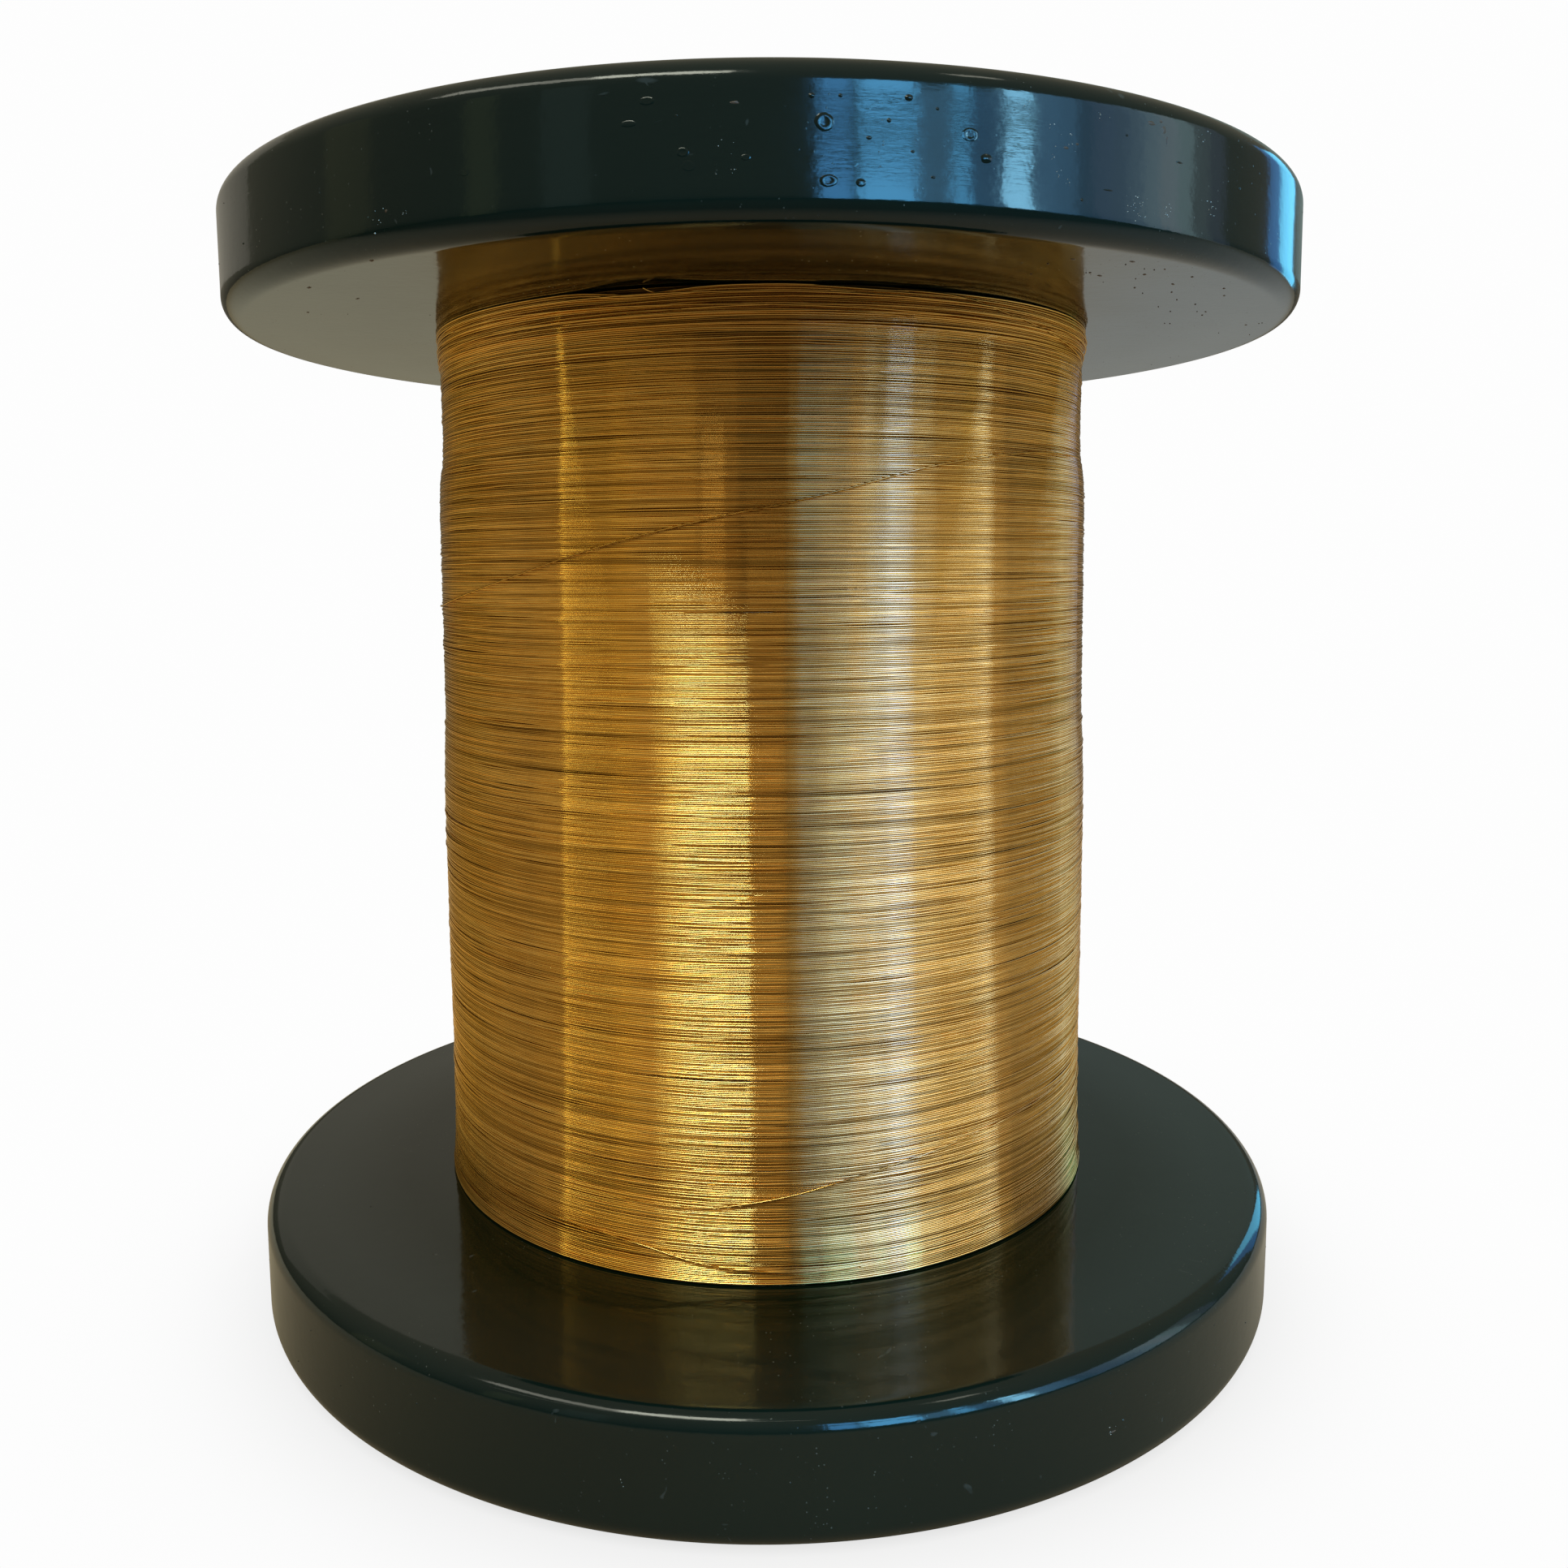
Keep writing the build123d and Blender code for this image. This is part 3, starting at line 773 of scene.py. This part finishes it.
def turn_radii(z):
    r = wound_radius(z) - WIRE / 2
    r = r + (0.036 * turn_noise(16) + 0.034 * rng.standard_normal((TURNS, 1))
             + 0.018 * turn_noise(6, along=1.6)) * MM
    r = r - 0.22 * np.clip(turn_noise(18) - 1.3, 0, 0.9) * MM         # sunk stretches
    return r + 0.18 * np.clip(turn_noise(14) - 1.35, 0, 0.9) * MM     # raised stretches


def turn_tones():
    return np.clip(0.52 + 0.22 * turn_noise(12) + 0.08 * turn_noise(7, along=1.4)
                   + 0.10 * rng.standard_normal((TURNS, 1)), 0, 1)


def continuous(values):
    """Blend the end of each turn into the next, so that the wire runs on."""
    following = np.concatenate([values[1:], values[-1:]])
    weight = ease((part_turn - 0.9) / 0.1)
    return values * (1 - weight) + following * weight


def add_turns(pieces=4):
    """The outer layer as one helix, cut into pieces of whole turns."""
    z = turn_heights()
    r = continuous(turn_radii(z))
    tone = continuous(turn_tones()).reshape(-1)
    path = np.stack([r * np.cos(theta), r * np.sin(theta), z], -1).reshape(-1, 3)
    cuts = np.linspace(0, TURNS, pieces + 1).astype(int) * SEGMENTS
    obs = []
    for k in range(pieces):
        part = slice(cuts[k], min(cuts[k + 1] + 1, len(path)))
        grid = tube_grid(path[part], WIRE / 2, TURN_SIDES, tall=1.28)
        ob = grid_object("winding_turns_%d" % (k + 1), [grid], closed=False,
                         tone=np.repeat(tone[part], TURN_SIDES))
        obs.append(fit_out(ob, brass, "winding_outer_layer"))
    return obs


def add_strands(name, paths, tone, replaced=None):
    grids = [tube_grid(path, WIRE / 2, STRAND_SIDES) for path in paths]
    count = sum(len(path) for path in paths) * STRAND_SIDES
    ob = grid_object(name, grids, closed=False, tone=np.full(count, tone))
    return fit_out(ob, brass, replaced)


def around(turn, z, r):
    a = np.radians(turn)
    return np.stack([r * np.sin(a), -r * np.cos(a), z], -1)


def crossing_path(knots, count, ends, lift, bumps, seed):
    """Strand over the turns, dipping in at both ends. knots are (turn, z in mm), ends the
    degrees each end takes to rise, lift in wire diameters, bumps in mm."""
    knots = np.array(knots, float)
    turn = np.linspace(knots[0, 0], knots[-1, 0], count)
    z = np.interp(turn, knots[:, 0], knots[:, 1])
    window = max(3, count // 18)
    kernel = np.hanning(window + 2)[1:-1]
    kernel /= kernel.sum()
    padded = np.concatenate([np.full(window, z[0]), z, np.full(window, z[-1])])
    z = np.convolve(padded, kernel, "same")[window:-window] * MM
    up = ease(np.minimum((turn - turn[0]) / ends[0], (turn[-1] - turn) / ends[1]))
    jitter = np.random.default_rng(seed).standard_normal(count + 20)
    wobble = np.convolve(jitter, np.hanning(9) / 4, "same")[10:-10] * bumps
    sunk = 0.55
    r = wound_radius(z) - WIRE * sunk + (WIRE * (sunk + lift) + wobble * MM) * up
    return around(turn, z, r)


CROSSINGS = [
    dict(knots=[(-104, 165.2), (-86, 165.6), (-69, 166.7), (-60, 168.4), (-50, 170.8),
                (-40, 173.8), (-31, 177.0), (-21, 180.5), (-11, 183.5), (-4, 185.5),
                (2, 187.0), (11, 189.8), (21, 193.5), (27, 195.3), (37, 197.6),
                (46, 198.8), (58, 199.5), (70, 199.8)],
         count=320, ends=(14, 14), lift=1.05, bumps=0.03, seed=1),
    dict(knots=[(-24, 42.8), (-14, 42.9), (-8, 43.3), (-1, 44.9), (4, 46.2), (12, 48.9),
                (20, 50.9), (31, 53.0), (41, 54.3), (52, 55.0), (66, 55.3)],
         count=180, ends=(9, 12), lift=0.85, bumps=0.02, seed=2),
    dict(knots=[(-52, 35.7), (-42, 35.5), (-34, 35.2), (-26, 34.7), (-19, 33.6),
                (-12, 31.6), (-6, 30.3), (2, 29.6), (14, 29.3)],
         count=150, ends=(9, 9), lift=0.85, bumps=0.02, seed=3),
    dict(knots=[(-90, 223.0), (-74, 223.6), (-59.4, 224.05), (-43, 224.3),
                (-29.4, 224.75), (-16, 224.95), (-4, 224.8), (12, 224.4), (26, 223.8)],
         count=260, ends=(12, 12), lift=0.55, bumps=0.01, seed=5),
    dict(knots=[(20, 228.8), (28, 228.7), (33.3, 228.1), (40.2, 226.55), (48.7, 225.2),
                (57.5, 223.7), (66, 222.4), (77, 221.6)],
         count=220, ends=(5, 10), lift=0.62, bumps=0.01, seed=6)]

# z, swing in z, phase of the swing, lay (half wire diameters outward), first and last turn
LOOSE_TURNS = [
    (226.6, 0.9, 20, 0.50, -140, 128), (225.2, 1.1, -60, 0.52, -120, 150),
    (223.6, 0.8, 80, 0.50, -95, 160), (227.4, 0.6, 140, 0.98, -70, 120),
    (224.4, 1.5, 35, 0.99, -20, 150), (222.4, 0.5, -20, 0.48, -150, 60),
    (227.9, 0.4, 75, 0.47, 10, 170), (226.0, 1.3, -150, 1.02, -60, 75)]


def loose_path(z_mean, swing, phase, lay, first, last):
    """Loose turn that rides over the last ones under the upper flange."""
    turn = np.linspace(first, last, 260)
    z = (z_mean + swing * np.sin(np.radians(turn * 1.3 + phase))) * MM
    z = np.minimum(z, WOUND_TO - WIRE * 0.6 - 0.4 * MM * bell(turn, -21, 11))
    up = ease(np.minimum((turn - first) / 16, (last - turn) / 16))
    return around(turn, z, wound_radius(z) - WIRE * 0.6 + WIRE * (0.1 + 2 * lay) * up)


def free_end_path():
    """Lies on the top turn, then stands up in the dip."""
    turn = np.linspace(9.0, -16.7, 110)
    stand = np.clip((-14.7 - turn) / 2.0, 0, 1) ** 1.7
    lie = np.clip((9.0 - turn) / 6, 0, 1)
    dip_here = np.interp(turn, np.sort(turn_deg), dip[np.argsort(turn_deg)])
    z = WOUND_TO - WIRE / 2 + (0.38 - DIP_DEPTH * dip_here + 1.0 * stand) * MM
    r = wound_radius(z) - WIRE / 2 + (-0.15 + 0.48 * lie + 0.70 * stand) * MM
    return around(turn, z, r)


wire_obs = add_turns()
wire_obs += [
    # the crossing wire gets tone 0.22, darker brass: painted shade for the shadow along it
    add_strands("crossing_wire", [crossing_path(**c) for c in CROSSINGS], 0.22,
                "crossing_strands"),
    add_strands("loose_top_turns", [loose_path(*row) for row in LOOSE_TURNS], 0.65),
    add_strands("wire_free_end", [free_end_path()], 0.8, "wire_tail")]

# ------------------------------------------------------------------ CAD nodes that stay
for material, nodes in (
        (enamel_outer, ("lower_outer_wall", "upper_outer_wall",
                        "lower_hub_ring", "upper_hub_ring")),
        (steel, ("lower_shaft_bush", "upper_shaft_bush", "lower_drive_bushes",
                 "upper_drive_bushes", "wire_entry_ferrule")),
        (primed, ("lower_rim_ring", "upper_rim_ring", "lower_ribs", "upper_ribs",
                  "barrel_tube", "bore_tube", "lower_barrel_disc", "upper_barrel_disc")),
        (shaded_brass_layers, ("winding_inner_layers",)),
        (brass, ("wire_start",))):
    for node in nodes:
        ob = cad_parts[node]
        if not ob.material_slots:
            ob.data.materials.append(material)
        for slot in ob.material_slots:
            slot.link = "OBJECT"
            slot.material = material

# ------------------------------------------------------------------ floor and world
BACKDROP = (0.985, 0.985, 0.985)


def floor_material():
    """Near white to the camera, with painted contact shade next to the reel; for all other rays
    its colour carries painted light and shade: shade in front, light behind, warm on the left,
    cool on the right.
    """
    s = material_shader("floor_pale")
    # painted contact shade: the camera colour darkens where the occlusion node finds the reel
    # near
    occlusion = s.add("ShaderNodeAmbientOcclusion", Distance=0.08)
    occlusion.samples = 12
    open_share = s.ramp(occlusion.outputs["AO"], (0.0, 0.0), (0.95, 1.0))
    seen = s.add("ShaderNodeEmission", Strength=1.0,
                 Color=s.mix(open_share, (0.74, 0.74, 0.735), BACKDROP))
    xyz = s.split(s.coords())
    # painted light and shade in the colour seen by all but camera rays: warm on the left, cool
    # light on the right, shade in front, light behind
    # 1 m to either side of the reel spans each ramp
    warm_left_cool_right_light = s.ramp(s.math("MULTIPLY_ADD", xyz[0], 0.5, 0.5, clamp=True),
                        (0.30, (0.88, 0.82, 0.66)), (0.50, (0.98, 0.80, 0.58)),
                        (0.72, (0.85, 0.88, 0.93)))
    front_shadow_back_light = s.ramp(s.math("MULTIPLY_ADD", xyz[1], 0.5, 0.5, clamp=True),
                        (0.30, 0.16), (0.40, 0.74), (0.62, 1.10))
    lit = s.add("ShaderNodeBsdfDiffuse", Color=s.mix(1.0, warm_left_cool_right_light, front_shadow_back_light, "MULTIPLY"))
    s.camera_switch(lit.outputs[0], seen.outputs[0])
    return s.owner


def add_floor():
    """Disc of fans and rings, just under the reel."""
    sectors = 96
    radii = (0.1, 0.3, 1.0, 4.0, 20.0)
    angles = [2 * math.pi * i / sectors for i in range(sectors)]
    points = [(0, 0, 0)] + [(r * math.cos(a), r * math.sin(a), 0) for r in radii for a in angles]
    faces = [(0, 1 + i, 1 + (i + 1) % sectors) for i in range(sectors)]
    for k in range(len(radii) - 1):
        inner, outer = 1 + k * sectors, 1 + (k + 1) * sectors
        for i in range(sectors):
            j = (i + 1) % sectors
            faces.append((inner + i, outer + i, outer + j, inner + j))
    mesh = bpy.data.meshes.new("floor")
    mesh.from_pydata(points, [], faces)
    mesh.validate()
    ob = add_object("floor", mesh)
    ob.location.z = -0.0002
    ob.data.materials.append(floor_material())
    return ob


def add_world():
    """Plain backdrop to the camera, a dim warm room to everything else."""
    scene.world = bpy.data.worlds.new("studio")
    s = Shader(scene.world, "ShaderNodeOutputWorld")
    height = s.split(s.add("ShaderNodeTexCoord").outputs["Generated"])[2]
    room = s.ramp(height, (0.0, (0.085, 0.076, 0.055)), (0.40, (0.22, 0.20, 0.145)),
                  (1.0, (0.36, 0.32, 0.23)))
    s.camera_switch(s.add("ShaderNodeBackground", Color=room).outputs[0],
                    s.add("ShaderNodeBackground", Color=BACKDROP).outputs[0])


floor = add_floor()
add_world()


# ------------------------------------------------------------------ lights
def group(name, obs):
    collection = bpy.data.collections.new(name)
    for ob in obs:
        collection.objects.link(ob)
    return collection


wire_obs += [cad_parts[node] for node in ("winding_inner_layers", "wire_start")]
on_wire = group("lit_wire", wire_obs)
rest_obs = [ob for ob in scene.objects if ob.type == "MESH" and ob not in wire_obs]
on_rest = group("lit_rest", [ob for ob in rest_obs if ob is not floor])
on_rest_and_floor = group("lit_rest_and_floor", rest_obs)

CENTRE = Vector((0, 0, REEL_LENGTH / 2))
# distances from the middle of the reel
NEAR = 1.6
WINDOW = 2.4
WALL = 2.6
FAR = 3.0


def area_light(name, width, height, radiance, location, rotation, receivers):
    """Rectangle of the given radiance that lights only the receivers."""
    peak = max(radiance)
    lamp = bpy.data.lights.new(name, "AREA")
    lamp.shape = "RECTANGLE"
    lamp.size, lamp.size_y = width, height
    lamp.color = tuple(c / peak for c in radiance)
    lamp.energy = peak * math.pi * width * height
    ob = add_object(name, lamp)
    ob.location = location
    ob.rotation_euler = rotation
    ob.visible_camera = False
    ob.light_linking.receiver_collection = receivers


def facing(direction):
    return (-direction).to_track_quat("-Z", "Y").to_euler()


def breadth(start, end, distance):
    return 2 * distance * math.tan(math.radians((end - start) / 2))


def panel(name, turns, heights, radiance, receivers, distance):
    """Soft light facing the reel, between two turns and two elevations in degrees."""
    turn, elevation = math.radians(sum(turns) / 2), math.radians(sum(heights) / 2)
    direction = Vector((math.sin(turn) * math.cos(elevation),
                        -math.cos(turn) * math.cos(elevation), math.sin(elevation)))
    width = 2 * distance * math.cos(elevation) * math.tan(
        math.radians((turns[1] - turns[0]) / 2))
    area_light(name, width, breadth(*heights, distance), radiance,
               CENTRE + direction * distance, facing(direction), receivers)


def wall_panel(name, turns, heights, radiance):
    """Upright light for the wire, its sides on the same two turns at every height."""
    turn = math.radians(sum(turns) / 2)
    direction = Vector((math.sin(turn), -math.cos(turn), 0.0))
    bottom, top = (FAR * math.tan(math.radians(height)) for height in heights)
    location = CENTRE + direction * FAR + Vector((0, 0, (bottom + top) / 2))
    area_light(name, breadth(*turns, FAR), top - bottom, radiance,
               location, facing(direction), on_wire)


# What the enamel mirrors. Tables give turns, (elevations,) radiance.
panel("softbox", (-36, -6), (44, 53), (10.5, 10.8, 9.0), on_rest_and_floor, NEAR)
for k, (turns, radiance) in enumerate((
        ((10.6, 16.4), (0.9, 4.0, 8.5)), ((17.8, 28.5), (1.6, 6.9, 12.8)),
        ((35.2, 38.6), (1.3, 5.6, 10.2)), ((45.4, 50.9), (4.6, 12.0, 17.5)))):
    panel("window_%d_low" % k, turns, (2, 17.85), radiance, on_rest, WINDOW)
    panel("window_%d_high" % k, turns, (19.25, 26), radiance, on_rest, WINDOW)
panel("window_frame_1", (28.5, 35.2), (2, 22), (0.55, 1.6, 2.8), on_rest, WALL)
panel("window_frame_2", (38.6, 45.4), (2, 22), (0.28, 0.95, 2.0), on_rest, WALL)

# right-hand wall: edges of its strips and the radiance of each
strip_edges = (51.5, 56, 60.5, 64.5, 68.5, 72.5, 76.6, 81, 85.5, 90, 95, 100)
strip_radiance = (
    (0.58, 1.60, 2.90), (0.50, 1.40, 2.55), (0.22, 0.62, 1.20), (0.43, 0.81, 1.45),
    (0.45, 0.84, 1.40), (0.62, 1.08, 1.60), (0.95, 1.50, 1.90), (1.20, 1.60, 1.88),
    (0.90, 1.40, 1.55), (0.30, 0.42, 0.50), (0.14, 0.19, 0.32))
for k, radiance in enumerate(strip_radiance):
    panel("wall_right_%d" % k, strip_edges[k:k + 2], (0, 25), radiance, on_rest, WALL)

for name, turns, heights, radiance, distance in (
        ("window_side_1", (119, 126), (0, 26), (0.05, 0.40, 1.10), WINDOW),
        ("window_side_2", (126, 137), (0, 26), (0.42, 2.10, 3.30), WINDOW),
        ("wall_left_0", (-90, -78), (0, 25), (0.09, 0.09, 0.035), WALL),
        ("wall_left_1", (-55.5, -49.5), (0, 25), (0.14, 0.17, 0.07), WALL),
        ("wall_left_2", (-40, -31), (0, 25), (0.08, 0.13, 0.13), WALL),
        ("softbox_left", (-74, -36), (44, 52), (3.2, 3.2, 2.7), NEAR),
        ("back_left", (-170, -120), (12, 34), (0.18, 0.17, 0.15), FAR),
        ("back_right", (140, 190), (12, 34), (0.05, 0.12, 0.14), FAR),
        ("lamp_top_right", (52, 66), (56, 61), (3.0, 3.0, 2.5), NEAR)):
    panel(name, turns, heights, radiance, on_rest, distance)

area_light("floor_light", 1.8, 1.5, (1.4, 1.7, 1.95), (0.35, 0.5, 2.3), (0, 0, 0),
           group("lit_floor", [floor]))

# What the wire mirrors. The first light and all on the right are cooled.
COOLING = (1, 1.05, 1.13)
panel("wire_light_0", (-21, -13), (29, 37), scaled((3.0, 2.6, 1.6), *COOLING), on_wire, NEAR)
for k, (turns, heights, radiance) in enumerate((
        # warm side of the room
        ((-112, -85), (10, 70), (0.12, 0.08, 0.03)),
        ((-85, -70.4), (10, 70), (0.38, 0.27, 0.075)),
        ((-70.4, -68.5), (4, 70), (4.2, 4.1, 1.7)),
        ((-68.5, -52), (10, 70), (0.52, 0.40, 0.08)),
        ((-52, -46), (10, 70), (0.92, 0.74, 0.24)),
        ((-46, -22), (10, 70), (0.84, 0.70, 0.36)),
        ((-22, -8), (10, 70), (0.30, 0.23, 0.12)),
        ((-6, 9), (40, 72), (1.20, 1.00, 0.60)),
        # windows and wall, right
        ((9, 12.5), (8, 60), (0.30, 0.42, 0.60)),
        ((12.5, 20), (8, 45), (0.48, 1.05, 2.9)),
        ((20, 30), (8, 45), (0.76, 1.28, 3.0)),
        ((30, 34.5), (8, 45), (1.35, 1.70, 2.8)),
        ((34.5, 38.5), (8, 45), (1.90, 2.90, 6.4)),
        ((34.5, 38.5), (45, 70), (1.2, 2.6, 8.5)),
        ((38.5, 42.5), (8, 45), (1.15, 1.80, 3.7)),
        ((42.5, 51.5), (8, 45), (2.50, 4.80, 17.0)),
        ((28, 51.5), (45, 70), (0.9, 1.8, 4.4)),
        ((43.5, 50.5), (45, 70), (0.8, 2.4, 12.0)),
        ((51.5, 60), (8, 60), (1.80, 2.50, 4.6)),
        ((60, 72), (8, 60), (1.12, 1.22, 1.35)),
        ((72, 79), (8, 60), (1.20, 1.26, 1.0)),
        ((79, 84), (8, 60), (3.30, 4.70, 9.0)),
        ((84, 91), (8, 60), (0.85, 0.80, 0.80)),
        ((91, 125), (8, 60), (0.15, 0.18, 0.30)),
        ((125, 150), (8, 60), (0.80, 1.40, 3.8))), start=1):
    if turns[0] > 0:
        radiance = scaled(radiance, *COOLING)
    wall_panel("wire_light_%d" % k, turns, heights, radiance)


def add_wire_window():
    """High window, front left: narrow slices, the lower edge rising to the right."""
    edges = np.linspace(-46, -6.5, 10)
    height = 9.6
    sill_turns = (-46, -36, -28, -17.5, -6.5)
    sill_heights = (45.5, 47.0, 48.8, 51.0, 53.5)
    color_turns = (-44, -38, -34, -22, -12)
    channels = ((5.5, 9.0, 13.0, 13.5, 16.5),
                (7.6, 13.0, 20.0, 20.5, 22.6),
                (6.6, 14.0, 27.0, 27.0, 28.2))
    for k, turns in enumerate(zip(edges[:-1], edges[1:])):
        middle = sum(turns) / 2
        sill = float(np.interp(middle, sill_turns, sill_heights))
        radiance = tuple(float(np.interp(middle, color_turns, c)) for c in channels)
        panel("wire_window_%d" % k, turns, (sill, sill + height), radiance, on_wire, NEAR)


add_wire_window()

# warm table top, seen by the wire from below: x, y, width, depth, radiance
for k, (x, y, width, depth, radiance) in enumerate((
        (-0.86, -0.25, 1.4, 2.0, (0.15, 0.095, 0.022)),
        (0.86, -0.25, 1.4, 2.0, (0.12, 0.090, 0.05)),
        (0.0, -0.78, 0.32, 1.2, (0.11, 0.080, 0.055)))):
    area_light("table_glow_%d" % k, width, depth, radiance, (x, y, 0.004),
               (math.pi, 0, 0), on_wire)


# ------------------------------------------------------------------ camera
def add_camera():
    """In front of the reel and above it, tilted down."""
    pitch, roll, yaw = 0.11595, -0.0071, -0.0013       # radians
    lens = bpy.data.cameras.new("camera")
    lens.sensor_width = 36.0
    lens.lens = 31.923913043
    lens.shift_x = 0.0117753623
    lens.shift_y = -0.0370496894
    lens.clip_start = 0.01
    camera = add_object("camera", lens)
    camera.location = (0.0, -2.83151 * FLANGE_RADIUS, 1.40534 * FLANGE_RADIUS)
    aim = Euler((math.pi / 2 - pitch, 0, yaw)).to_matrix()
    camera.rotation_euler = (aim @ Matrix.Rotation(roll, 3, "Z")).to_euler()
    scene.camera = camera


add_camera()
scene.view_settings.view_transform = "Standard"
scene.view_settings.look = "None"
scene.view_settings.exposure = 0.0
